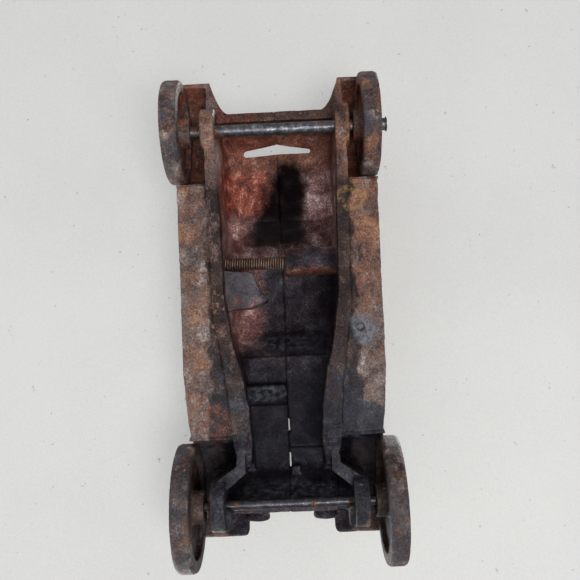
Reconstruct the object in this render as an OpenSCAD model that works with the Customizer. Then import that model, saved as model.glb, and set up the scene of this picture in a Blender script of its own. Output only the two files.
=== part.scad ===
// Cast iron still bank in the shape of a 1930s two-door car.
// Two half castings meet on a lengthwise seam and are pulled together by one
// cross screw. Two loose axles each carry two disc wheels. The underside is open.
// Frame: +X to the radiator, +Y to the car's left, +Z up, wheels on Z = 0.

/* [Overall] */
// Distance between the front and rear axles
wheelbase = 152.6; // [148:0.2:156]
// Half width from the centre plane to the outer face of the front wheels
half_track = 43.2; // [42:0.1:45]
// Thickness of the cast body walls
wall = 4.3; // [3.4:0.1:4.6]
// Gap left between the two half castings
seam_gap = 0.3; // [0.2:0.1:0.6]

/* [Wheels and axles] */
// Diameter of the rear wheels
rear_wheel_d = 43; // [42:0.2:44]
// Diameter of the front wheels
front_wheel_d = 49; // [47:0.2:49.6]
// Width of the wheel treads
tread_w = 7.1; // [6:0.1:8]
// Diameter of the wheel hubs
hub_d = 13; // [11:0.1:14]
// Diameter of the rear axle
rear_axle_d = 5.2; // [4.4:0.1:5.6]
// Diameter of the front axle
front_axle_d = 4.0; // [3.4:0.1:4.6]
// Running clearance on the diameter of every axle hole
axle_play = 0.7; // [0.5:0.1:0.9]

/* [Body] */
// Half width of the cabin and trunk at the sills, outside
sill_half = 29; // [28.4:0.1:29.6]
// Half width over the running boards
board_half = 41.6; // [40.6:0.1:42.2]
// Height of the underside of the running boards
board_z = 19; // [18:0.1:20]
// Height of the rear and front lips of the open underside
lip_z = 26; // [25.4:0.1:27]
// Height of the roof inside the cabin
roof_in_z = 72.5; // [70:0.1:75]
// Height of the trunk lid inside
deck_in_z = 55; // [53:0.1:57]
// Height of the hood inside, at the cowl
cowl_in_z = 55; // [53:0.1:57]

/* [Coin slot and screw] */
// Length of the coin slot across the trunk
slot_len = 31; // [28:0.1:33]
// Width of the coin slot at its left end
slot_w = 2.6; // [2.2:0.1:3]
// Diameter of the clamping screw
screw_d = 6; // [5:0.1:6.4]
// Diameter of the screw boss on the right casting
boss_d = 12.8; // [12:0.1:14]

/* [Hidden] */
// Which sub-part to draw, or "all"
$fn = 64;

// axle positions
rear_x = -wheelbase / 2;
front_x = wheelbase / 2;
rear_r = rear_wheel_d / 2;
front_r = front_wheel_d / 2;

// inside reference points of the body, outlines grow outward from these
trunk_back = rear_x - 5.7;
deck_front = rear_x + 30.3;
roof_mid = rear_x + 61.3;
header_x = rear_x + 84;
cowl_x = front_x - 58.8;
nose_x = front_x - 9;
nose_lip_x = front_x - 0.3;
nose_rake = 11.1;
nose_rise = 26;
cowl_half = sill_half - 3.4;
hood_half = sill_half - 7;
nose_half = hood_half - 1.4;
hood_wall = wall + 1.4;
front_z = cowl_in_z - 4.5;
shoulder_r = 15;
belt_z = 46;
roof_r = 65;

// fenders: half rings round the wheels
fender_t = 2.3;
wheel_gap = 1.2;
wheel_room = 1.0;
rear_fender_r = rear_r + wheel_gap + fender_t;
front_fender_r = front_r + wheel_gap + fender_t;
fender_half = 44.5;
rear_fender_in = 27.5;
front_fender_in = 18;
rear_tip_z = rear_r + 5;
front_tip_a = 53;
front_tip_x = front_x + front_fender_r * cos(front_tip_a);
corner_w = 7.3;
corner_len = 13.8;

// axle lugs
lug_in = 24.9;
lug_t = 6;
lug_r = 9.5;
lug_top = 42;
arm_r = 10;

// axles and wheels
axle_half = 47.2;
front_axle_half = 45.4;
rear_shift = 1.3;
hub_proud = 2.8;
web_t = 3;
ring_t = 5;
tread_edge = 1;

// running boards and sill rim
board_t = 3;
rim_proud = 1.2;
board_back = rear_x + rear_fender_r - fender_t / 2;
board_front = front_x - front_fender_r + fender_t / 2;
board_taper_x = front_x - 52;
board_front_half = board_half - 3.9;

// coin slot: a point on the rounded trunk shoulder and the tilt of its cut from the vertical
slot_x = rear_x - 2;
slot_z = deck_in_z - 3.5;
slot_tilt = 20;

// cross screw
screw_x = rear_x + 53.2;
screw_z = 43;
boss_end = 1.7;
head_d = 11;
head_t = 3;
driver_w = 1.6;
pocket_d = head_d + 2;
screw_tip = 16;

// headlights
lamp_d = 10.4;
lamp_y = 14.2;
lamp_z = 45.5;
lamp_front = front_x + 10;
lamp_len = 12;

// shallow outside details
groove_w = 1.3;
groove_deep = 0.9;
window_deep = 1.3;

big = 300;

// --- helpers ---

// points of an arc in a drawing plane, from angle a0 to a1
function arc(cx, cy, r, a0, a1, n = 10) =
    [for (i = [0:n]) let (a = a0 + (a1 - a0) * i / n) [cx + r * cos(a), cy + r * sin(a)]];

// a body cross-section: straight sides up to z0, then a squarish curve to the crown at z1
function crowned(h, z0, z1, square) = concat(
    [[-h, 0], [h, 0]],
    [for (i = [0:24]) let (a = 180 * i / 24, c = cos(a), s = sin(a))
        [h * sign(c) * pow(abs(c), square), z0 + (z1 - z0) * pow(s, square)]]);

// an X-Z outline made solid between two Y planes
module side_slab(points, y0, y1) {
    translate([0, y1, 0]) rotate([90, 0, 0]) linear_extrude(y1 - y0) polygon(points);
}

// a Y-Z outline made solid between two X planes
module cross_slab(points, x0, x1) {
    translate([x0, 0, 0]) rotate([90, 0, 90]) linear_extrude(x1 - x0) polygon(points);
}

// an X-Y outline, given for the left side, made solid on both sides
module plan_slab(points, z0, z1) {
    translate([0, 0, z0]) linear_extrude(z1 - z0)
        for (s = [0, 1]) mirror([0, s]) polygon(points);
}

// a round bar along Y between two Y planes
module bar_y(d, y0, y1) {
    translate([0, y1, 0]) rotate([90, 0, 0]) cylinder(d = d, h = y1 - y0);
}

// --- body outlines; o is how far outside the cavity the surface lies ---

function trunk_side(o) = concat(
    [[roof_mid, 0], [trunk_back - o, 0]],
    arc(trunk_back + shoulder_r, deck_in_z - shoulder_r, shoulder_r + o, 180, 98),
    [[deck_front + 6, deck_in_z + 3 + o], [roof_mid, deck_in_z + 3 + o]]);

function cabin_side(o) = concat(
    [[cowl_x + o, 0], [deck_front - o, 0], [deck_front - o, deck_in_z + 2]],
    arc(roof_mid, roof_in_z - roof_r, roof_r + o, 109, 72),
    [[cowl_x + o, cowl_in_z + 1 + o / 2]]);

function hood_side(o) = concat(
    [[nose_lip_x + o + 5, 0], [header_x - 20, 0], [header_x - 20, cowl_in_z + o], [cowl_x, cowl_in_z + o]],
    arc(nose_x - 5, front_z - 5, 5 + o, 85, 15, 6),
    [[nose_lip_x + o, lip_z], [nose_lip_x + o, 0]]);

function cabin_section(o) = crowned(sill_half - wall + o, belt_z, roof_in_z + 0.6 + o, 0.62);

function trunk_section(o) = crowned(sill_half - wall + o, deck_in_z - 16, deck_in_z + 4 + o, 0.5);

function hood_section(o) = crowned(hood_half + 2 - wall + o, 40, cowl_in_z + 0.6 + o, 0.42);

function cabin_plan(o) = let (i = wall - o) [
    [deck_front - o - 1, -1], [deck_front - o - 1, sill_half - i], [header_x - 4, sill_half - i],
    [header_x + 3, cowl_half - i + 0.6], [cowl_x + o, cowl_half - i - 1], [cowl_x + o, -1]];

function hood_plan(o) = let (i = (wall - o) * hood_wall / wall) [
    [header_x - 20, -1], [header_x - 20, cowl_half - i], [header_x, cowl_half - i],
    [cowl_x + 5, cowl_half - 1.2 - i], [front_x - 38, hood_half + 0.4 - i], [nose_x - 4, nose_half - i],
    [nose_lip_x + o, nose_half - i - 2], [nose_lip_x + o, -1]];

// the solid or hollow mass of the car: trunk, cabin and hood
module car_mass(o) {
    intersection() {
        side_slab(trunk_side(o), -big, big);
        cross_slab(trunk_section(o), -big, big);
    }
    intersection() {
        side_slab(cabin_side(o), -big, big);
        cross_slab(cabin_section(o), -big, big);
        plan_slab(cabin_plan(o), 0, big);
    }
    intersection() {
        side_slab(hood_side(o), -big, big);
        cross_slab(hood_section(o), -big, big);
        plan_slab(hood_plan(o), 0, big);
    }
}

// everything below the lower edge of the body shell
module below_edge() {
    side_slab([[-big, -1], [big, -1], [big, lip_z], [front_x - 17, lip_z], [front_x - 25, board_z],
               [rear_x + 25, board_z], [rear_x + 17, lip_z], [-big, lip_z]], -big, big);
}

// --- fenders and running boards ---

// crowned half ring round an axle, from angle a0 to a1 above the horizontal
module fender_ring(r, y_in, a0, a1) {
    rotate([90, 0, 0]) rotate([0, 0, a0]) rotate_extrude(angle = a1 - a0)
        polygon([[r - fender_t, -y_in], [r, -y_in], [r, -fender_half + 8], [r - 0.4, -fender_half + 3.5],
                 [r - 1.3, -fender_half], [r - fender_t, -fender_half]]);
}

// outline of the fenders seen from above: they narrow to meet the running boards
function fender_plan() = concat(
    [[-big, -1], [-big, fender_half], [rear_x + 6, fender_half], [rear_x + 17, board_half + 1.4],
     [board_back + 1.6, board_half], [board_front - 1.6, board_front_half], [front_x - 16, board_half + 1.2],
     [front_x - 6, fender_half]],
    arc(front_tip_x - 6, fender_half - 6, 6, 90, 0, 5),
    arc(front_tip_x - 3, front_fender_in + 3, 3, 0, -90, 4),
    [[front_x, front_fender_in], [front_x, -1]]);

module rear_fender() {
    tip_a = 180 - asin((rear_tip_z - rear_r) / rear_fender_r);
    translate([rear_x, 0, rear_r]) fender_ring(rear_fender_r, rear_fender_in, -4, tip_a);
}

module front_fender() {
    translate([front_x, 0, front_r]) fender_ring(front_fender_r, front_fender_in, front_tip_a, 190);
}

// carries the sloping radiator wall sideways to the lugs, under the fenders
module front_apron() {
    back = nose_lip_x + 0.3;
    lower = lip_z + 0.3;
    apron_t = wall - 0.6;
    intersection() {
        side_slab([[back, lower], [back - nose_rake, lower + nose_rise],
                   [back - nose_rake + apron_t, lower + nose_rise], [back + apron_t, lower]],
                  8, lug_in + lug_t);
        translate([front_x, 0, front_r]) bar_y(2 * front_fender_r - 0.6, 0, big);
    }
}

// the hollow corner between the trunk's back wall and the rear fender
module rear_corner() {
    x0 = trunk_back - wall;
    y0 = rear_fender_in - corner_w;
    fender_y = rear_fender_in + 2;
    curve = [for (i = [0:8]) let (t = i / 8) [x0 - corner_len * pow(t, 1.7), y0 + corner_w * t]];
    intersection() {
        translate([0, 0, lip_z]) linear_extrude(30)
            polygon(concat([[x0 + 1, y0]], curve, [[x0 - corner_len, fender_y], [x0 + 1, fender_y]]));
        translate([rear_x, 0, rear_r]) bar_y(2 * rear_fender_r - 0.6, 0, big);
    }
}

module running_board() {
    translate([0, 0, board_z]) linear_extrude(board_t) polygon(concat(
        [[board_back, sill_half - 2]],
        arc(board_back + 2, board_half - 2, 2, 180, 90, 4),
        [[board_taper_x - 30, board_half - 0.9], [board_taper_x, board_half - 1.2]],
        [[board_front - 9, board_front_half + 1.3], [board_front, board_front_half],
         [board_front, hood_half - 2], [front_x - 38, hood_half - 3], [cowl_x, cowl_half - 3],
         [header_x, sill_half - 2]]));
}

// the cavity widens to the lugs behind the sloping radiator wall
module front_pocket() {
    front = nose_lip_x - 0.4;
    intersection() {
        translate([front_x, 0, front_r]) bar_y(2 * (front_r + wheel_room) - 0.6, -1, lug_in + 1);
        plan_slab([[nose_x - 5, 0], [nose_x - 5, nose_half - wall], [nose_x + 2.5, lug_in],
                   [front, lug_in], [front, 0]], -1, big);
        side_slab([[0, -1], [front, -1], [front, lip_z], [front - nose_rake, lip_z + nose_rise],
                   [0, lip_z + nose_rise]], -big, big);
    }
}

// a proud rim along the sills, on the lower edge of the body; it rises to the front lip
module sill_rim() {
    rim_z = board_z - rim_proud;
    top_z = lip_z + 2;
    rim_end = front_x - 14.5;
    outer_line = [
        [rear_x + 14, sill_half + 0.8], [cowl_x - 14, sill_half - 1.2], [cowl_x - 7, sill_half - 3],
        [cowl_x + 4.5, cowl_half - 1.1], [cowl_x + 13, hood_half + 0.9], [front_x - 38, hood_half + 0.4],
        [front_x - 26, hood_half - 0.6], [rim_end, nose_half - 0.4]];
    inner_line = [
        [rim_end, nose_half - hood_wall], [front_x - 24, nose_half - hood_wall - 1.3],
        [front_x - 38, nose_half - hood_wall - 0.4], [cowl_x + 6.5, nose_half - wall + 0.6],
        [cowl_x, cowl_half - wall - 2.2], [cowl_x - 7, cowl_half - wall - 0.9],
        [cowl_x - 24, sill_half - wall - 1.6], [rear_x + 40, sill_half - wall - 0.9],
        [rear_x + 14, sill_half - wall + 0.2]];
    intersection() {
        linear_extrude(big) polygon(concat(outer_line, inner_line));
        side_slab([[-big, rim_z], [front_x - 31, rim_z], [front_x - 17, lip_z - 2], [rim_end + 1.5, top_z],
                   [-big, top_z]], 0, big);
    }
}

// --- axle lugs ---

module rear_lug() {
    translate([rear_x, 0, rear_r]) bar_y(2 * lug_r, lug_in, lug_in + lug_t);
    translate([rear_x - lug_r, lug_in, rear_r]) cube([2 * lug_r, lug_t, lug_top - rear_r]);
    // the rail that runs forward from the lug into the sill
    side_slab([[rear_x, rear_r - lug_r + 0.5], [rear_x + 12, board_z - 2], [rear_x + 27, board_z - 0.5],
               [rear_x + 34, board_z + 1], [rear_x + 34, lug_top], [rear_x, lug_top]],
              lug_in, sill_half + 0.6);
}

module front_lug() {
    translate([front_x, 0, front_r]) bar_y(2 * arm_r, lug_in, lug_in + lug_t);
    translate([front_x - arm_r, lug_in, front_r]) cube([2 * arm_r, lug_t, 26]);
    // the hood side swings out to meet the lug
    translate([0, 0, lip_z - 4]) linear_extrude(27) polygon(
        [[nose_x - 3, nose_half - wall + 0.5], [nose_x + 3.5, lug_in], [nose_x + 5, lug_in + lug_t],
         [nose_x + 0.7, lug_in + lug_t], [nose_x - 6, nose_half + 0.2], [nose_x - 11, nose_half - 0.3],
         [nose_x - 11, nose_half - wall + 0.5]]);
    // small foot from the lug to the front lip
    side_slab([[front_x + 1, front_r - 6], [front_x + 9, front_r - 3], [nose_lip_x + wall, lip_z + 3],
               [nose_lip_x, lip_z + 3]], lug_in - 2.2, lug_in + 1);
}

// --- small castings ---

// bullet headlight with a proud rim
module headlight() {
    r = lamp_d / 2;
    shell = [for (i = [0:8]) let (a = 90 * i / 8) [(r - 0.6) * sin(a), -6 * cos(a)]];
    translate([lamp_front - lamp_len, lamp_y, lamp_z]) rotate([0, 90, 0]) rotate_extrude()
        polygon(concat(shell, [[r - 0.6, lamp_len - 3], [r, lamp_len - 2.4], [r, lamp_len - 0.6],
                               [r - 0.9, lamp_len], [0, lamp_len]]));
}

// outlines of the door, cut as shallow grooves
module door_lines() {
    door_back = deck_front + 7;
    door_front = header_x - 2;
    for (x = [door_back, door_front]) translate([x, 0, board_z + 6]) cube([groove_w, big, 26]);
    translate([door_back, 0, board_z + 6]) cube([door_front - door_back, big, groove_w]);
}

module hood_louvres() {
    for (i = [0:6]) translate([cowl_x + 9 + 4.3 * i, 0, 33]) rotate([0, 12, 0]) cube([1.6, big, 11]);
}

module side_window() {
    z0 = belt_z + 6;
    z1 = roof_in_z - 9;
    side_slab([[deck_front + 10, z0], [header_x - 3, z0], [header_x - 8, z1], [deck_front + 14, z1]], 0, big);
}

module end_windows() {
    windscreen = [[2, belt_z + 13], [15, belt_z + 13], [12, roof_in_z - 5], [2, roof_in_z - 4]];
    back_window = [[0, belt_z + 17], [10, belt_z + 17], [9, roof_in_z - 6], [0, roof_in_z - 5]];
    cross_slab(windscreen, header_x - 5, big);
    cross_slab(back_window, -big, deck_front + 12);
}

module grille_ribs() {
    for (i = [0:4]) translate([nose_x, 1.3 + 2.4 * i, lip_z + 3]) cube([big, 1.3, 17]);
}

// outside details sunk a little way into the shell
module shallow_details() {
    difference() {
        union() {
            side_window();
            end_windows();
        }
        car_mass(wall - window_deep);
    }
    difference() {
        union() {
            door_lines();
            hood_louvres();
            grille_ribs();
        }
        car_mass(wall - groove_deep);
    }
}

// --- the two half castings ---

// features both halves share, drawn for the left side
module half_shell() {
    difference() {
        union() {
            difference() {
                car_mass(wall);
                below_edge();
                shallow_details();
            }
            intersection() {
                union() {
                    rear_fender();
                    front_fender();
                }
                plan_slab(fender_plan(), 0, big);
            }
            front_apron();
            running_board();
            rear_corner();
        }
        car_mass(0);
        front_pocket();
        // room for the wheels
        translate([rear_x, 0, rear_r]) bar_y(2 * (rear_r + wheel_room), lug_in + lug_t + 0.2, big);
        translate([front_x, 0, front_r]) bar_y(2 * (front_r + wheel_room), lug_in + lug_t + 0.2, big);
    }
    sill_rim();
    rear_lug();
    front_lug();
    headlight();
}

// holes both halves share
module half_holes() {
    translate([rear_x, 0, rear_r]) bar_y(rear_axle_d + axle_play, 10, big);
    translate([front_x, 0, front_r]) bar_y(front_axle_d + axle_play, -1, big);
}

// half of the uneven chevron slot through the rounded shoulder of the trunk, narrower to its end
module coin_slot_half(end_w) {
    peak = slot_w - 0.5;
    half = slot_len / 2;
    fall = 2.7;
    translate([slot_x, 0, slot_z]) rotate([0, -90 - slot_tilt, 0]) rotate([90, 0, 90])
        translate([0, 0, -10]) linear_extrude(22)
            polygon([[-0.5, peak - slot_w - 1.7], [-0.5, peak], [half, peak - fall],
                     [half, peak - fall - end_w]]);
}

module left_half_space() {
    translate([-big, seam_gap / 2, -big]) cube([2 * big, big, 2 * big]);
}

module body_left() {
    color("#5b4338") difference() {
        intersection() {
            union() {
                half_shell();
                left_wedge();
                left_ledge();
            }
            left_half_space();
        }
        half_holes();
        coin_slot_half(slot_w);
        // clearance hole and pocket for the screw head
        translate([screw_x, 0, screw_z]) bar_y(screw_d + 0.8, 10, big);
        translate([screw_x, 0, screw_z]) bar_y(pocket_d, sill_half - head_t + 1.2, big);
    }
}

module body_right() {
    color("#4f3f38") mirror([0, 1, 0]) difference() {
        intersection() {
            union() {
                half_shell();
                screw_boss();
                right_step();
                nose_peg();
            }
            left_half_space();
        }
        half_holes();
        coin_slot_half(slot_w - 1);
        seam_split(front_x - 31.7, 5.8);
        seam_split(front_x - 17.2, 6.8);
        // threaded hole in the boss
        translate([screw_x, 0, screw_z]) bar_y(screw_d + 0.2, -1, screw_tip);
        // small blind hole under the running board
        translate([rear_x + 84.8, 31, board_z - 1]) cylinder(d = 3.2, h = 3);
    }
}

// long boss that takes the screw, on the right casting
module screw_boss() {
    translate([screw_x, 0, screw_z]) bar_y(boss_d, boss_end, sill_half - 1);
}

// thick wedge cast on the left wall beside the screw
module left_wedge() {
    x = screw_x + 3.8;
    wall_y = sill_half - 1;
    translate([0, 0, 31]) linear_extrude(9) polygon(
        [[x, wall_y], [x + 2, 12], [x + 6.3, 10.6], [x + 10.7, 8.2], [x + 13.6, 5.9], [x + 14.6, 6.4],
         [x + 17, 13], [x + 18.5, wall_y]]);
}

// cross ledge under the hood, left casting: steep at the rear, sloping away to the front
module left_ledge() {
    x = front_x - 46.5;
    buried = front_z + 5;
    nose = arc(x + 1.5, front_z - 3, 1.5, 180, 290, 5);
    side_slab(concat([[x, buried]], nose, [[x + 9, front_z + 0.5], [x + 9.5, buried]]), 0, hood_half - 5);
}

// low step under the hood, right casting: it fades in from the rear and ends in an edge
module right_step() {
    x = front_x - 26;
    buried = front_z + 3;
    side_slab([[x, buried], [x, front_z + 1.2], [x + 6.4, front_z - 1.2], [x + 7, front_z - 0.6],
               [x + 7, buried]], 0, 14.5);
}

// square locating peg at the nose, right casting
module nose_peg() {
    translate([front_x - 11.5, 0.4, front_z - 6]) rotate([0, 0, 12]) cube([4, 4, 8]);
}

// a place where the seam stands open over the hood
module seam_split(x, len) {
    translate([x, -1, 40]) cube([len, 1.6, 30]);
}

// --- screw, axles and wheels ---

module clamp_screw() {
    head_y = sill_half - head_t + 1.4;
    color("#6b4a36") translate([screw_x, 0, screw_z]) difference() {
        union() {
            bar_y(screw_d, 1.8 - screw_tip, head_y + 0.2);
            intersection() {
                bar_y(head_d, head_y, head_y + head_t);
                translate([0, head_y - head_d / 2 + head_t - 1.2, 0]) sphere(d = head_d * 1.18);
            }
        }
        translate([-big, head_y + head_t - 1.4, -driver_w / 2]) cube([2 * big, 2, driver_w]);
    }
}

module axle(d, half, head) {
    union() {
        bar_y(d, -half, half);
        for (y = [-half, half - 0.9]) bar_y(d + head, y, y + 0.9);
    }
}

module rear_axle() {
    color("#3a3a3c") translate([rear_x, 0, rear_r]) axle(rear_axle_d, axle_half, 1.3);
}

module front_axle() {
    color("#3a3a3c") translate([front_x, 0, front_r]) axle(front_axle_d, front_axle_half, 2);
}

// disc wheel for the left side: tread ring, set-back web and hub; outer face at outer_y
module disc_wheel(r, outer_y, bore) {
    inner_y = outer_y - tread_w;
    web_y = inner_y + 2.2;
    color("#54423a") difference() {
        union() {
            bar_y(2 * r - 0.8, inner_y, outer_y);
            bar_y(2 * r, inner_y + tread_edge, outer_y - tread_edge);
            bar_y(hub_d, inner_y - hub_proud, outer_y);
        }
        // inner and outer dishes leave the web between them
        difference() {
            bar_y(2 * (r - ring_t), inner_y - 0.1, web_y);
            bar_y(hub_d, inner_y - 1, web_y + 1);
        }
        difference() {
            bar_y(2 * (r - ring_t + 1), web_y + web_t, outer_y + 0.1);
            bar_y(hub_d, web_y, outer_y + 1);
        }
        bar_y(bore, inner_y - hub_proud - 1, outer_y + 1);
    }
}

module wheel_rear_left() {
    translate([rear_x, 0, rear_r]) disc_wheel(rear_r, half_track + 0.5 + rear_shift, rear_axle_d + axle_play);
}

module wheel_rear_right() {
    translate([rear_x, 0, rear_r]) mirror([0, 1, 0])
        disc_wheel(rear_r, half_track + 0.5 - rear_shift, rear_axle_d + axle_play);
}

module wheel_front_left() {
    translate([front_x, 0, front_r]) disc_wheel(front_r, half_track, front_axle_d + axle_play);
}

module wheel_front_right() {
    translate([front_x, 0, front_r]) mirror([0, 1, 0])
        disc_wheel(front_r, half_track, front_axle_d + axle_play);
}

body_left();
body_right();
clamp_screw();
rear_axle();
front_axle();
wheel_rear_left();
wheel_rear_right();
wheel_front_left();
wheel_front_right();
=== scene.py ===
"""Looks for a rusty cast iron car bank, seen from below as it lies on its roof.

The object stays upright in its own frame (+X front, +Y left, +Z up), so the main camera looks up
from under it. The table it lies on is a one-sided sheet above the roof.
"""

import math
from types import SimpleNamespace

import bmesh
import bpy
from mathutils import Matrix, Vector


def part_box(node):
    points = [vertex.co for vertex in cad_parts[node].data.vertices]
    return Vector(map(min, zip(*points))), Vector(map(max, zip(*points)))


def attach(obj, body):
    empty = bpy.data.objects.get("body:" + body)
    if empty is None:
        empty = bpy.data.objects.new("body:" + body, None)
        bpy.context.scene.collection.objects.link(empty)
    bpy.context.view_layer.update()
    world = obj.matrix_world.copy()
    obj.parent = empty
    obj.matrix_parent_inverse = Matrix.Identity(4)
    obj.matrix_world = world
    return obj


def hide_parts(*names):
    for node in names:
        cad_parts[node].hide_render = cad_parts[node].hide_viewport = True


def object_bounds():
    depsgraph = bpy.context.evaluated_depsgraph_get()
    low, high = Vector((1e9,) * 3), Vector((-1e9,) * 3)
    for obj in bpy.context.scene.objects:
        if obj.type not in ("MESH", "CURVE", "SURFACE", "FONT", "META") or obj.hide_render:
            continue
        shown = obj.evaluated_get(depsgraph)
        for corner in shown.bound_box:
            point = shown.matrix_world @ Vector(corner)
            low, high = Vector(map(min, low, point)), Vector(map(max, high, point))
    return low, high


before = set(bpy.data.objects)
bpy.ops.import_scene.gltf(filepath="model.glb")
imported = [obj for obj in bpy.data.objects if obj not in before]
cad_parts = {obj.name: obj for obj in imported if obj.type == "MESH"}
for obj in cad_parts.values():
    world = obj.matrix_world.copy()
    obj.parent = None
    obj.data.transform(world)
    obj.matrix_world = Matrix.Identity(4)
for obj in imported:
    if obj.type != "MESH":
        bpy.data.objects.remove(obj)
cad_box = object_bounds()

MM = 0.001

# Positions taken from the CAD parts in model.glb
rear_lo, rear_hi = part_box("wheel_rear_left")
front_lo, front_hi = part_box("wheel_front_left")
screw_lo, screw_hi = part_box("clamp_screw")
rear_x = (rear_lo.x + rear_hi.x) / 2
rear_z = (rear_lo.z + rear_hi.z) / 2
front_x = (front_lo.x + front_hi.x) / 2
front_z = (front_lo.z + front_hi.z) / 2
rear_r = rear_z - rear_lo.z
front_r = front_z - front_lo.z
screw_x = (screw_lo.x + screw_hi.x) / 2
screw_z = (screw_lo.z + screw_hi.z) / 2
roof_z = cad_box[1].z

# The cross screw, the same sizes as in the CAD part
SCREW_R = 3.0 * MM
HEAD_T = 3.0 * MM
THREAD_DEPTH = 0.7 * MM
THREAD_PITCH = 1.05 * MM
TIP_TAPER = 0.8 * MM


# ---------------------------------------------------------------- meshes

def new_object(name, mesh):
    obj = bpy.data.objects.new(name, mesh)
    bpy.context.scene.collection.objects.link(obj)
    return obj


def from_bmesh(name, mesh):
    bmesh.ops.recalc_face_normals(mesh, faces=mesh.faces)
    data = bpy.data.meshes.new(name)
    mesh.to_mesh(data)
    mesh.free()
    data.shade_smooth()
    return new_object(name, data)


def baked(obj):
    """Puts the object's modifiers into its mesh and clears them."""
    graph = bpy.context.evaluated_depsgraph_get()
    mesh = bpy.data.meshes.new_from_object(obj.evaluated_get(graph))
    obj.modifiers.clear()
    obj.data = mesh
    return obj


def add_noise_skin(obj, label, size, depth, middle):
    """Pushes the surface in and out by cloud noise of one grain size."""
    texture = bpy.data.textures.new(obj.name + "_" + label, "CLOUDS")
    texture.noise_scale = size
    texture.noise_depth = 2
    push = obj.modifiers.new(label, "DISPLACE")
    push.texture = texture
    push.texture_coords = "LOCAL"
    push.strength = depth
    push.mid_level = middle


def cast_copy(name, node, voxel, rounding, rough, grain):
    """A sand-cast version of a CAD node: same shape, soft corners and an uneven skin."""
    obj = new_object(name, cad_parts[node].data.copy())
    obj.data.materials.clear()
    remesh = obj.modifiers.new("skin", "REMESH")
    remesh.mode = "VOXEL"
    remesh.voxel_size = voxel * 1.0
    remesh.use_smooth_shade = True
    smooth = obj.modifiers.new("soft", "SMOOTH")
    smooth.factor = 0.5
    smooth.iterations = rounding
    add_noise_skin(obj, "waves", grain * 5, rough, 0.66)
    add_noise_skin(obj, "pits", grain, rough * 0.5, 0.66)
    return baked(obj)


def close_seam(obj, reach, gap):
    """Brings a half casting's mating face up to the seam, where the two halves touch."""
    for vertex in obj.data.vertices:
        if abs(vertex.co.y) < reach:
            vertex.co.y = math.copysign(gap, vertex.co.y)


def lathe_y(name, profile, steps=64):
    """(y, radius) points turned about the Y axis through the origin, with both ends closed."""
    mesh = bmesh.new()
    rings = []
    for y, r in profile:
        angles = [2 * math.pi * i / steps for i in range(steps)]
        rings.append([mesh.verts.new((r * math.cos(a), y, r * math.sin(a))) for a in angles])
    for one, two in zip(rings, rings[1:]):
        for i in range(steps):
            j = (i + 1) % steps
            mesh.faces.new((one[i], one[j], two[j], two[i]))
    mesh.faces.new(rings[0][::-1])
    mesh.faces.new(rings[-1])
    return from_bmesh(name, mesh)


def axle_rod(name, node, x, z, head):
    """A drawn rod with worn, upset ends; head is how much wider they are than the rod."""
    lo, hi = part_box(node)
    r_end = (hi.z - lo.z) / 2
    r = r_end - head / 2
    half = hi.y
    end = [(-half, r * 0.55), (-half + 0.2 * MM, r_end * 0.85)]
    end += [(-half + 0.5 * MM, r_end), (-half + 0.95 * MM, r)]
    rings = 90
    inner = half - 1.2 * MM
    middle = [(-inner + 2 * inner * i / rings, r) for i in range(rings + 1)]
    other_end = [(-y, radius) for y, radius in reversed(end)]
    rod = lathe_y(name, end + middle + other_end, 48)
    rod.data.transform(Matrix.Translation((x, 0, z)))
    add_noise_skin(rod, "pits", 1.4 * MM, 0.2 * MM, 0.7)
    return baked(rod)


def screw_thread(name):
    """The screw's shank: a helical thread from under the head to the tip."""
    head_y = screw_hi.y - HEAD_T
    length = head_y - screw_lo.y
    rings = int(length / THREAD_PITCH * 10)
    steps = 36
    mesh = bmesh.new()
    grid = []
    for i in range(rings + 1):
        y = screw_lo.y + length * i / rings
        run_out = min(1.0, (y - screw_lo.y) / THREAD_PITCH)
        row = []
        for k in range(steps):
            turn = k / steps
            phase = (y / THREAD_PITCH - turn) % 1.0
            tooth = min(1.0, 1.3 * (1 - abs(2 * phase - 1)))
            radius = SCREW_R - THREAD_DEPTH * (1 - tooth) - TIP_TAPER * (1 - run_out)
            a = 2 * math.pi * turn
            row.append(mesh.verts.new((screw_x + radius * math.cos(a), y, screw_z + radius * math.sin(a))))
        grid.append(row)
    for one, two in zip(grid, grid[1:]):
        for k in range(steps):
            n = (k + 1) % steps
            mesh.faces.new((one[k], one[n], two[n], two[k]))
    mesh.faces.new(grid[0][::-1])
    mesh.faces.new(grid[-1])
    return from_bmesh(name, mesh)


def screw_head(name):
    """The slotted head, cut from the CAD screw just above its shank."""
    mesh = bmesh.new()
    mesh.from_mesh(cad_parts["clamp_screw"].data)
    bmesh.ops.remove_doubles(mesh, verts=mesh.verts, dist=1e-7)
    geometry = mesh.verts[:] + mesh.edges[:] + mesh.faces[:]
    neck = (0, screw_hi.y - HEAD_T - 0.15 * MM, 0)
    cut = bmesh.ops.bisect_plane(mesh, geom=geometry, plane_co=neck, plane_no=(0, 1, 0), clear_inner=True)
    edges = [item for item in cut["geom_cut"] if isinstance(item, bmesh.types.BMEdge)]
    bmesh.ops.holes_fill(mesh, edges=edges)
    head = from_bmesh(name, mesh)
    remesh = head.modifiers.new("skin", "REMESH")
    remesh.mode = "VOXEL"
    remesh.voxel_size = 0.22 * MM
    remesh.use_smooth_shade = True
    smooth = head.modifiers.new("soft", "SMOOTH")
    smooth.iterations = 2
    add_noise_skin(head, "pits", 1.0 * MM, 0.12 * MM, 0.7)
    return baked(head)


# ---------------------------------------------------------------- materials

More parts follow.
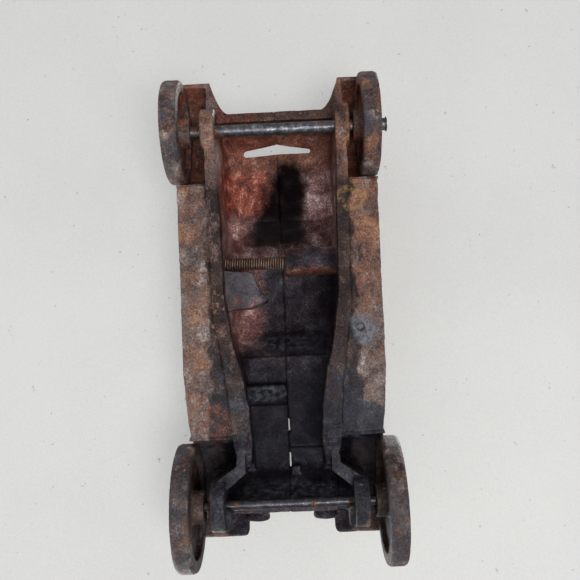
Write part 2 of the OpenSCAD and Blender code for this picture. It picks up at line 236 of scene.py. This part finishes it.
class Nodes:
    """Short names for building a material's node tree in the object's own coordinates."""

    def __init__(self, name, shift=(0, 0, 0)):
        self.material = bpy.data.materials.new(name)
        self.material.use_nodes = True
        self.tree = self.material.node_tree
        self.shader = self.tree.nodes["Principled BSDF"]
        self.place = self.add("ShaderNodeTexCoord").outputs["Object"]
        move = self.add("ShaderNodeMapping")
        move.inputs["Location"].default_value = shift
        self.link(self.place, move.inputs["Vector"])
        self.noise_place = move.outputs["Vector"]
        self.zones = None

    def add(self, kind, **values):
        node = self.tree.nodes.new(kind)
        for key, value in values.items():
            setattr(node, key, value)
        return node

    def link(self, source, target):
        self.tree.links.new(source, target)

    def connect(self, value, socket):
        if isinstance(value, (int, float)):
            socket.default_value = value
        elif isinstance(value, tuple):
            socket.default_value = (*value, 1.0)
        else:
            self.link(value, socket)

    def noise(self, scale, detail=5.0, rough=0.6, distortion=0.0):
        node = self.add("ShaderNodeTexNoise")
        node.inputs["Scale"].default_value = scale
        node.inputs["Detail"].default_value = detail
        node.inputs["Roughness"].default_value = rough
        node.inputs["Distortion"].default_value = distortion
        self.link(self.noise_place, node.inputs["Vector"])
        return node.outputs["Fac"]

    def steps(self, value, low, high):
        """0 at low and 1 at high; low above high runs the other way."""
        node = self.add("ShaderNodeMapRange", interpolation_type="SMOOTHSTEP")
        node.inputs["From Min"].default_value = low
        node.inputs["From Max"].default_value = high
        self.link(value, node.inputs["Value"])
        return node.outputs["Result"]

    def math(self, kind, a, b=0.0):
        node = self.add("ShaderNodeMath", operation=kind)
        self.connect(a, node.inputs[0])
        self.connect(b, node.inputs[1])
        return node.outputs["Value"]

    def times(self, *values):
        result = values[0]
        for value in values[1:]:
            result = self.math("MULTIPLY", result, value)
        return result

    def plus(self, *values):
        result = values[0]
        for value in values[1:]:
            result = self.math("ADD", result, value)
        return result

    def inverse(self, a):
        return self.math("SUBTRACT", 1.0, a)

    def ramp(self, value, *stops):
        node = self.add("ShaderNodeValToRGB")
        elements = node.color_ramp.elements
        while len(elements) < len(stops):
            elements.new(0.5)
        for element, (position, colour) in zip(elements, stops):
            element.position = position
            element.color = (*colour, 1.0)
        self.link(value, node.inputs["Fac"])
        return node.outputs["Color"]

    def mix(self, factor, one, two):
        node = self.add("ShaderNodeMix", data_type="RGBA")
        self.connect(factor, node.inputs[0])
        self.connect(one, node.inputs[6])
        self.connect(two, node.inputs[7])
        return node.outputs[2]

    def axes(self, wander):
        """The object's X, Y and Z, shaken by noise so that zones have uneven borders.

        They are kept as self.zones, which spot and facing_in use.
        """
        cloud = self.add("ShaderNodeTexNoise")
        cloud.inputs["Scale"].default_value = 110
        cloud.inputs["Detail"].default_value = 4
        self.link(self.noise_place, cloud.inputs["Vector"])
        centred = self.add("ShaderNodeVectorMath", operation="SUBTRACT")
        centred.inputs[1].default_value = (0.5, 0.5, 0.5)
        self.link(cloud.outputs["Color"], centred.inputs[0])
        scaled = self.add("ShaderNodeVectorMath", operation="SCALE")
        scaled.inputs["Scale"].default_value = wander * 2
        self.link(centred.outputs["Vector"], scaled.inputs[0])
        moved = self.add("ShaderNodeVectorMath", operation="ADD")
        self.link(self.place, moved.inputs[0])
        self.link(scaled.outputs["Vector"], moved.inputs[1])
        split = self.add("ShaderNodeSeparateXYZ")
        self.link(moved.outputs["Vector"], split.inputs["Vector"])
        self.zones = split.outputs["X"], split.outputs["Y"], split.outputs["Z"]
        return self.zones

    def spot(self, centre, size):
        """1 in the middle of a soft ellipse, 0 outside it."""
        total = 0.0
        for axis, middle, half in zip(self.zones, centre, size):
            away = self.math("DIVIDE", self.math("SUBTRACT", axis, middle), half)
            total = self.math("ADD", self.math("MULTIPLY", away, away), total)
        return self.steps(total, 1.0, 0.35)

    def facing_in(self, heart_z):
        """1 where the surface faces the car's lengthwise heart line at a given height, 0 outside."""
        x, y, z = self.zones
        split = self.add("ShaderNodeSeparateXYZ")
        self.link(self.add("ShaderNodeTexCoord").outputs["Normal"], split.inputs["Vector"])
        across = self.times(y, split.outputs["Y"])
        up = self.times(self.math("SUBTRACT", z, heart_z), split.outputs["Z"])
        along = self.times(x, split.outputs["X"], 0.25)
        return self.steps(self.plus(across, up, along), 6 * MM, 0)

    def edges(self):
        return self.add("ShaderNodeNewGeometry").outputs["Pointiness"]

    def bump(self, height, strength, distance):
        node = self.add("ShaderNodeBump")
        node.inputs["Strength"].default_value = strength
        node.inputs["Distance"].default_value = distance
        self.link(height, node.inputs["Height"])
        self.link(node.outputs["Normal"], self.shader.inputs["Normal"])


def grainy(n, scale, dark, middle, bright, pale):
    """A rough surface in four tones, from dark pits to pale grains that are partly painted glints; scale is
    the size of its clouds.
    """
    clouds = n.noise(scale, 6, 0.65, 0.4)
    grains = n.noise(1350, 3, 0.8)
    value = n.plus(n.times(clouds, 0.56), n.times(grains, 0.44))
    # The pale tone is partly pale grains and partly painted glints.
    return n.ramp(value, (0.41, dark), (0.48, middle), (0.55, bright), (0.65, pale))


def rust_brown(n):
    """Brown rust with orange grains, partly painted glints."""
    return grainy(n, 90, (0.020, 0.009, 0.009), (0.098, 0.040, 0.029),
                  (0.200, 0.086, 0.050), (0.44, 0.24, 0.12))


def rust_red(n):
    """Bright red rust."""
    return grainy(n, 160, (0.032, 0.008, 0.007), (0.18, 0.036, 0.022),
                  (0.36, 0.085, 0.045), (0.78, 0.52, 0.40))


def rust_purple(n):
    """Old purplish rust full of white grains, partly painted glints."""
    return grainy(n, 150, (0.040, 0.017, 0.020), (0.165, 0.074, 0.074),
                  (0.32, 0.180, 0.170), (0.85, 0.75, 0.73))


def rust_dark(n):
    """The dark brown crust on the edges that are handled most."""
    return grainy(n, 120, (0.005, 0.003, 0.003), (0.020, 0.010, 0.009),
                  (0.046, 0.025, 0.020), (0.17, 0.11, 0.09))


def handled_metal(n):
    """Grey-brown bare iron with pale specks, partly painted glints."""
    return grainy(n, 130, (0.030, 0.022, 0.023), (0.115, 0.084, 0.076),
                  (0.195, 0.150, 0.136), (0.48, 0.43, 0.40))


def black_paint(n):
    """What is left of the black paint, a little blue."""
    return grainy(n, 140, (0.004, 0.004, 0.007), (0.016, 0.016, 0.024),
                  (0.034, 0.034, 0.046), (0.11, 0.11, 0.125))


def finish_iron(n, colour, rusty, fine, dull=0.0):
    """The rough, slightly greasy skin all the castings share, less its sheen where it is made dull.

    A part-metallic near-black has hardly any sheen, which is why dull goes to Metallic.
    """
    n.connect(colour, n.shader.inputs["Base Color"])
    n.connect(n.plus(n.times(fine, 0.7), n.times(rusty, 0.12), 0.05), n.shader.inputs["Roughness"])
    n.connect(dull, n.shader.inputs["Metallic"])
    n.shader.inputs["Specular IOR Level"].default_value = 0.4
    height = n.plus(n.times(n.noise(480, 6, 0.75), 0.6), n.times(n.noise(1300, 3, 0.7), 0.4))
    n.bump(height, 1.0, 0.9 * MM)
    return n.material


def car_zones(n):
    """The tones, noises and large zones that all the steps of the body's paint and rust share."""
    x, y, z = n.axes(5 * MM)
    side = n.math("ABSOLUTE", y)
    fine = n.noise(420, 5, 0.7)
    within = n.times(n.steps(z, 23 * MM, 28 * MM), n.steps(side, 29 * MM, 25 * MM))
    return SimpleNamespace(
        x=x, y=y, z=z, side=side, fine=fine,
        left=n.steps(y, 0, 7 * MM),
        patchy=n.plus(n.times(n.noise(95, 6, 0.7, 0.6), 0.5), n.times(fine, 0.5)),
        inside=n.times(within, n.facing_in(10 * MM)),
        paint=black_paint(n), brown=rust_brown(n), red=rust_red(n), crust=rust_dark(n),
        # A worn bluish grey: real wear on the right board and the wedge, painted light further forward
        # inside.
        blue_wear_and_light=n.mix(n.steps(fine, 0.4, 0.6), (0.045, 0.052, 0.068), (0.16, 0.17, 0.20)))


def outer_rust(n, car):
    """Handled metal and brown rust on the boards and lugs, brown and red rust under the rear fenders."""
    under_fender = n.times(n.steps(car.z, 24 * MM, 30 * MM), n.steps(car.side, 27 * MM, 31 * MM),
                           n.steps(car.x, 0, -20 * MM))
    rear_right = n.times(n.inverse(car.left), n.steps(car.x, 5 * MM, -15 * MM))
    browner = n.plus(car.patchy, n.times(rear_right, 0.08))
    rusty = n.math("MAXIMUM", n.steps(browner, 0.42, 0.60), under_fender)
    colour = n.mix(rusty, handled_metal(n), car.brown)
    colour = n.mix(n.times(under_fender, n.steps(car.patchy, 0.42, 0.56), 0.6), colour, car.red)
    return colour, rusty


def trunk_rust(n, car, colour):
    """Rust inside the trunk: orange round the slot, red on the left, purplish elsewhere."""
    colour = n.mix(car.inside, colour, rust_purple(n))
    trunk_left = n.times(car.inside, n.steps(car.x, -44 * MM, -52 * MM), car.left)
    colour = n.mix(trunk_left, colour, car.red)
    near_slot = n.times(car.inside, n.steps(car.x, -66 * MM, -70 * MM))
    return n.mix(n.times(near_slot, n.steps(car.patchy, 0.68, 0.50)), colour, n.mix(0.3, car.brown, car.red))


def crust_and_paint(n, car, colour):
    """Dark crust on the sills and the rear lip, old paint that is kept best towards the front, and black
    paint with a painted shadow at the right board's front end.
    """
    x = car.x
    sill = n.times(n.steps(car.z, 28 * MM, 23 * MM), n.steps(car.side, 30.6 * MM, 29 * MM),
                   n.steps(x, -58 * MM, -50 * MM))
    rear_lip = n.times(n.steps(x, -77 * MM, -80 * MM), n.steps(car.side, 30 * MM, 24 * MM),
                       n.steps(car.z, 33 * MM, 29 * MM))
    gaps = n.steps(n.plus(car.fine, n.times(car.left, 0.08)), 0.70, 0.60)
    crusted = n.times(n.plus(sill, n.times(rear_lip, 0.8)), gaps)
    colour = n.mix(crusted, colour, car.crust)
    front = n.times(n.steps(x, 20 * MM, 62 * MM), n.steps(x, 94 * MM, 80 * MM))
    sill_front = n.times(sill, n.math("MAXIMUM", n.steps(x, 0, 34 * MM), n.times(n.inverse(car.left), 0.2)))
    # Black paint and a painted shadow at the right board's front end, by the front wheel.
    right_end_paint_and_shadow = n.spot((50 * MM, -30 * MM, 20 * MM), (14 * MM, 13 * MM, 20 * MM))
    upper = n.times(n.steps(car.z, 24 * MM, 32 * MM), n.inverse(car.inside))
    kept = n.plus(n.times(sill_front, 0.12), n.times(right_end_paint_and_shadow, 0.3), n.times(front, 0.07),
                  n.times(upper, 0.03))
    colour = n.mix(n.steps(n.plus(car.patchy, kept), 0.54, 0.70), colour, car.paint)
    return colour, crusted


def black_middle_and_shade(n, car, colour):
    """Near black in the middle of the trunk, spreading to the left; black paint under the roof and hood,
    with painted shade deep under the hood and in the front wheel wells.

    Also gives how deep inside a place is and how much sheen its near-black middle and black paint swallow.
    """
    x = car.x
    # Near black in the middle of the trunk, spreading to the left.
    spread = n.plus(car.y, n.times(x, -0.45), -33.5 * MM)
    middle = n.times(n.steps(spread, 6 * MM, -5 * MM), n.steps(car.y, -18 * MM, -8 * MM))
    black_middle = n.times(car.inside, n.steps(x, -31 * MM, -40 * MM), n.steps(x, -78 * MM, -70 * MM), middle)
    near_wall = n.times(n.steps(car.side, 7 * MM, 14 * MM), n.steps(x, 20 * MM, 9 * MM), car.left)
    colour = n.mix(n.times(car.inside, near_wall, 0.25), colour, car.red)
    forward = n.times(car.inside, n.steps(x, -34 * MM, -24 * MM), n.inverse(n.times(near_wall, 0.95)))
    # Black paint and painted shade in the front wheel wells.
    well_paint_and_shade = n.times(n.steps(x, 47 * MM, 54 * MM), n.steps(car.side, 25 * MM, 28 * MM),
                   n.steps(x, 88 * MM, 80 * MM))
    colour = n.mix(n.times(forward, 0.94), colour, car.paint)
    colour = n.mix(n.times(well_paint_and_shade, n.steps(car.patchy, 0.60, 0.48), 0.9), colour, car.paint)
    shaded = n.steps(x, -48 * MM, -43 * MM)
    colour = n.mix(n.times(black_middle, 0.98), colour, n.mix(shaded, (0.004, 0.003, 0.004), (0.009, 0.007, 0.009)))
    # Painted shade: near black deep under the hood.
    hood_shade = n.times(forward, n.steps(x, 14 * MM, 36 * MM), n.steps(x, 68 * MM, 60 * MM))
    colour = n.mix(n.times(hood_shade, 0.70), colour, (0.005, 0.005, 0.010))
    deep = n.math("MAXIMUM", black_middle, forward)
    dull = n.plus(n.times(black_middle, n.inverse(n.times(shaded, 0.4))), n.times(forward, 0.6))
    return colour, deep, dull


def board_marks(n, car, colour):
    """Yellow rust and a worn bluish patch on the right board, red rust at the left one's front end."""
    place = (-44.6 * MM, -31 * MM, 19 * MM)
    hole = n.spot(place, (4.6 * MM, 5.4 * MM, 20 * MM))
    ring = n.times(n.spot(place, (6.4 * MM, 7 * MM, 20 * MM)), n.inverse(hole))
    colour = n.mix(n.times(ring, n.steps(car.fine, 0.38, 0.52), 0.8), colour, (0.30, 0.17, 0.065))
    blue = n.spot((10 * MM, -32.3 * MM, 19 * MM), (8 * MM, 6 * MM, 20 * MM))
    colour = n.mix(n.times(blue, 0.8), colour, car.blue_wear_and_light)
    red_end = n.spot((45 * MM, 27 * MM, 19 * MM), (10 * MM, 7 * MM, 20 * MM))
    dark_red = n.mix(0.5, car.red, car.crust)
    return n.mix(n.times(red_end, n.steps(car.patchy, 0.42, 0.56), 0.7), colour, dark_red)


def inner_marks(n, car, colour):
    """Crumbs in the trunk, rust under the boss, the painted wedge, and painted light on the ledge, header
    and nose wall further forward.
    """
    crumbs = n.times(n.spot((-44 * MM, 18 * MM, 57 * MM), (3 * MM, 6.5 * MM, 9 * MM)),
                     n.steps(car.fine, 0.52, 0.60))
    colour = n.mix(n.times(crumbs, 0.6), colour, (0.50, 0.42, 0.33))
    boss_edge = n.spot((screw_x + 6 * MM, -13 * MM, 39 * MM), (5 * MM, 19 * MM, 8 * MM))
    colour = n.mix(n.times(boss_edge, 0.6), colour, n.mix(0.4, car.brown, car.red))
    wedge = n.spot((-11 * MM, 17 * MM, 30 * MM), (13 * MM, 13 * MM, 4 * MM))
    colour = n.mix(n.times(wedge, 0.9), colour, n.mix(0.72, car.blue_wear_and_light, car.paint))
    # Painted light: a worn bluish grey brightens the ledge, the windshield header and the nose wall deep
    # inside.
    ledge = n.spot((34 * MM, 9 * MM, 47 * MM), (6 * MM, 12 * MM, 5 * MM))
    header = n.spot((12 * MM, 0.0, 66 * MM), (6 * MM, 24 * MM, 14 * MM))
    nose_wall = n.spot((73 * MM, 0.0, 31 * MM), (9 * MM, 26 * MM, 13 * MM))
    places = n.math("MAXIMUM", n.math("MAXIMUM", ledge, header), nose_wall)
    return n.mix(n.times(places, n.steps(car.fine, 0.36, 0.62), 0.55), colour, car.blue_wear_and_light)


def worn_edges(n, fine, colour, kept_off=0.0):
    """Bare metal along the sharp edges, except where something keeps the hands off."""
    edge = n.times(n.steps(n.edges(), 0.52, 0.58), n.steps(fine, 0.40, 0.60), n.inverse(kept_off))
    return n.mix(n.times(edge, 0.5), colour, (0.27, 0.21, 0.18))


def body_iron(name):
    """The half castings: bare and rusty outside, red rust in the trunk, black deep inside, with painted
    shade under the hood and in the front wheel wells, a painted shadow at the right board's front end and
    painted light on a few spots inside further forward.

    The zones are places on the car in its own coordinates, shaken by noise.
    """
    n = Nodes(name)
    car = car_zones(n)
    colour, rusty = outer_rust(n, car)
    colour = trunk_rust(n, car, colour)
    colour, crusted = crust_and_paint(n, car, colour)
    colour, deep, dull = black_middle_and_shade(n, car, colour)
    colour = board_marks(n, car, colour)
    colour = inner_marks(n, car, colour)
    colour = worn_edges(n, car.fine, colour, n.times(deep, 0.97))
    return finish_iron(n, colour, rusty, car.fine, n.plus(dull, n.times(crusted, 0.35)))


def wheel_iron(name):
    """The wheels: grey-brown treads with traces of paint, bright rust in the dished faces at the rear."""
    n = Nodes(name, shift=(0.4, 0.1, 0.2))
    x, y, z = n.axes(3 * MM)
    fine = n.noise(420, 5, 0.7)
    patchy = n.plus(n.times(n.noise(85, 6, 0.7, 0.6), 0.55), n.times(fine, 0.45))
    brown = rust_brown(n)
    crust = rust_dark(n)
    front = n.steps(x, -10 * MM, 10 * MM)

    rusty = n.steps(patchy, 0.47, 0.58)
    painted = n.steps(n.plus(n.noise(70, 5, 0.65, 0.4), n.times(front, -0.08)), 0.56, 0.44)
    metal = n.mix(n.times(painted, 0.85), handled_metal(n), black_paint(n))
    colour = n.mix(rusty, metal, n.mix(n.times(front, 0.6), brown, crust))

    dish = n.steps(n.math("ABSOLUTE", y), 41 * MM, 38.5 * MM)
    dish_rust = n.mix(front, n.mix(n.steps(patchy, 0.36, 0.50), brown, rust_red(n)), crust)
    for axle_x, axle_z, rim_r in ((rear_x, rear_z, rear_r), (front_x, front_z, front_r)):
        across = n.math("SUBTRACT", x, axle_x)
        up = n.math("SUBTRACT", z, axle_z)
        away = n.math("SQRT", n.plus(n.times(across, across), n.times(up, up)))
        web = n.times(n.steps(away, rim_r - 4 * MM, rim_r - 6 * MM), n.steps(away, 6 * MM, 8 * MM), dish)
        colour = n.mix(n.times(web, 0.9), colour, dish_rust)
        hub = n.times(n.steps(away, 8 * MM, 7 * MM), dish, n.plus(n.times(front, 0.5), 0.4))
        colour = n.mix(hub, colour, crust)

    colour = worn_edges(n, fine, colour)
    return finish_iron(n, colour, rusty, fine)


def dark_steel(name):
    """A dark steel rod: bright streaks, rust spots and rusty ends; the front one is blacker."""
    n = Nodes(name, (0.3, 0, 0))
    x, y = n.axes(3 * MM)[:2]
    ends = n.steps(n.math("ABSOLUTE", y), 17 * MM, 25 * MM)
    rusty = n.steps(n.plus(n.noise(170, 6, 0.65, 0.5), n.times(ends, 0.13)), 0.59, 0.68)
    steel = n.ramp(n.noise(420, 5, 0.65), (0.3, (0.030, 0.031, 0.038)), (0.52, (0.095, 0.096, 0.110)),
                   (0.72, (0.30, 0.30, 0.32)))
    steel = n.mix(n.times(n.steps(x, -10 * MM, 10 * MM), 0.7), steel, (0.022, 0.021, 0.028))
    n.link(n.mix(rusty, steel, rust_brown(n)), n.shader.inputs["Base Color"])
    n.shader.inputs["Metallic"].default_value = 0.7
    n.link(n.plus(n.times(rusty, 0.30), 0.34), n.shader.inputs["Roughness"])
    n.bump(n.noise(700, 5, 0.7), 0.5, 0.25 * MM)
    return n.material


def rusted_steel(name):
    """The screw: steel gone brown, brighter on the crests of the thread."""
    n = Nodes(name, (0.7, 0.2, 0))
    crest = n.steps(n.edges(), 0.49, 0.56)
    worn = n.ramp(n.noise(600, 4, 0.6), (0.40, (0.12, 0.054, 0.034)), (0.62, (0.33, 0.22, 0.16)))
    n.link(n.mix(n.times(crest, 0.9), (0.020, 0.010, 0.008), worn), n.shader.inputs["Base Color"])
    n.shader.inputs["Metallic"].default_value = 0.2
    n.link(n.plus(n.times(n.noise(500), 0.4), 0.35), n.shader.inputs["Roughness"])
    n.bump(n.noise(1000, 4, 0.7), 0.4, 0.2 * MM)
    return n.material


def one_sided(name, colour, glow):
    """A pale speckled surface seen from its front only, so that one scene works from above and below.

    The glow stands for light from all round the room and keeps the shadows faint.
    """
    n = Nodes(name)
    clouds = n.plus(n.times(n.noise(9, 3, 0.5), 0.4), n.times(n.noise(1300, 3, 0.8), 0.6))
    grain = n.ramp(clouds, (0.40, tuple(c * 0.90 for c in colour)), (0.60, colour))
    specks = n.steps(n.noise(330, 3, 0.6), 0.69, 0.75)
    speckled = n.mix(n.times(specks, 0.5), grain, (0.10, 0.10, 0.095))
    n.link(speckled, n.shader.inputs["Base Color"])
    n.shader.inputs["Roughness"].default_value = 0.6
    n.link(speckled, n.shader.inputs["Emission Color"])
    n.shader.inputs["Emission Strength"].default_value = glow
    n.bump(n.noise(800, 3, 0.6), 0.15, 0.2 * MM)
    clear = n.add("ShaderNodeBsdfTransparent")
    sides = n.add("ShaderNodeMixShader")
    n.link(n.add("ShaderNodeNewGeometry").outputs["Backfacing"], sides.inputs["Fac"])
    n.link(n.shader.outputs["BSDF"], sides.inputs[1])
    n.link(clear.outputs["BSDF"], sides.inputs[2])
    n.link(sides.outputs["Shader"], n.tree.nodes["Material Output"].inputs["Surface"])
    return n.material


# ---------------------------------------------------------------- the pieces

def dress(obj, body, node, material):
    obj.data.materials.clear()
    obj.data.materials.append(material)
    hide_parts(node)
    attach(obj, body)


def build_castings():
    iron = body_iron("cast_body")
    for side in ("left", "right"):
        half = cast_copy("casting_" + side, "body_" + side, 0.5 * MM, 5, 0.42 * MM, 1.3 * MM)
        close_seam(half, 0.5 * MM, 0.02 * MM)
        dress(half, "chassis", "body_" + side, iron)


def build_wheels():
    iron = wheel_iron("wheel_iron")
    for end in ("rear", "front"):
        for side in ("left", "right"):
            wheel = cast_copy(f"disc_{end}_{side}", f"wheel_{end}_{side}", 0.4 * MM, 4, 0.22 * MM, 1.1 * MM)
            dress(wheel, f"{end}_{side}_wheel", f"wheel_{end}_{side}", iron)


def build_axles():
    steel = dark_steel("axle_steel")
    rear = axle_rod("rod_rear", "rear_axle", rear_x, rear_z, 1.3 * MM)
    front = axle_rod("rod_front", "front_axle", front_x, front_z, 2.0 * MM)
    dress(rear, "rear_axle", "rear_axle", steel)
    dress(front, "front_axle", "front_axle", steel)


def build_screw():
    steel = rusted_steel("screw_steel")
    dress(screw_thread("screw_shank"), "chassis", "clamp_screw", steel)
    dress(screw_head("screw_head"), "chassis", "clamp_screw", steel)


# ---------------------------------------------------------------- stage, light and camera

def sheet(name, z, facing, material):
    """A large one-sided stage plane that neither shades nor lights the object."""
    size = 1.6
    corners = [(-size, -size, z), (size, -size, z), (size, size, z), (-size, size, z)]
    order = (0, 1, 2, 3) if facing > 0 else (3, 2, 1, 0)
    data = bpy.data.meshes.new(name)
    data.from_pydata(corners, [], [order])
    obj = new_object(name, data)
    data.materials.append(material)
    obj.visible_shadow = False
    obj.visible_diffuse = False
    obj.visible_glossy = False
    obj.visible_transmission = False


def area_light(name, place, size, power, colour=(1, 1, 1)):
    light = bpy.data.lights.new(name, "AREA")
    light.size = size
    light.energy = power
    light.color = colour
    obj = bpy.data.objects.new(name, light)
    obj.location = place
    towards = Vector((0, 0, 0.03)) - Vector(place)
    obj.rotation_euler = towards.to_track_quat("-Z", "Y").to_euler()
    bpy.context.scene.collection.objects.link(obj)


def build_stage():
    sheet("table", roof_z + 0.6 * MM, -1, one_sided("table_top", (0.36, 0.36, 0.352), 0.90))
    sheet("floor", 0.0, 1, one_sided("floor_top", (0.70, 0.70, 0.695), 0.15))
    area_light("below_key", (0.24, -0.14, -0.72), 0.30, 4.8, (1.0, 0.99, 0.97))
    area_light("below_fill", (-0.20, 0.45, -0.70), 1.00, 1.8, (0.96, 0.98, 1.0))
    area_light("above_key", (-0.40, -0.45, 0.65), 0.50, 5.0)
    area_light("above_fill", (0.50, 0.40, 0.50), 0.60, 3.0)
    world = bpy.data.worlds.new("studio")
    world.use_nodes = True
    background = world.node_tree.nodes["Background"]
    background.inputs["Color"].default_value = (0.94, 0.95, 0.96, 1)
    background.inputs["Strength"].default_value = 0.40
    bpy.context.scene.world = world
    bpy.context.scene.view_settings.view_transform = "Standard"


def build_camera():
    """Almost straight under the car, with its nose towards the bottom of the picture."""
    data = bpy.data.cameras.new("main_camera")
    data.lens = 41.07
    data.sensor_width = 36.0
    data.clip_start = 0.01
    camera = bpy.data.objects.new("main_camera", data)
    camera.location = (30.13 * MM, -5.97 * MM, -244.45 * MM)
    camera.rotation_euler = [math.radians(a) for a in (-171.93, -0.874, -87.56)]
    bpy.context.scene.collection.objects.link(camera)
    bpy.context.scene.camera = camera


build_castings()
build_wheels()
build_axles()
build_screw()
build_stage()
build_camera()
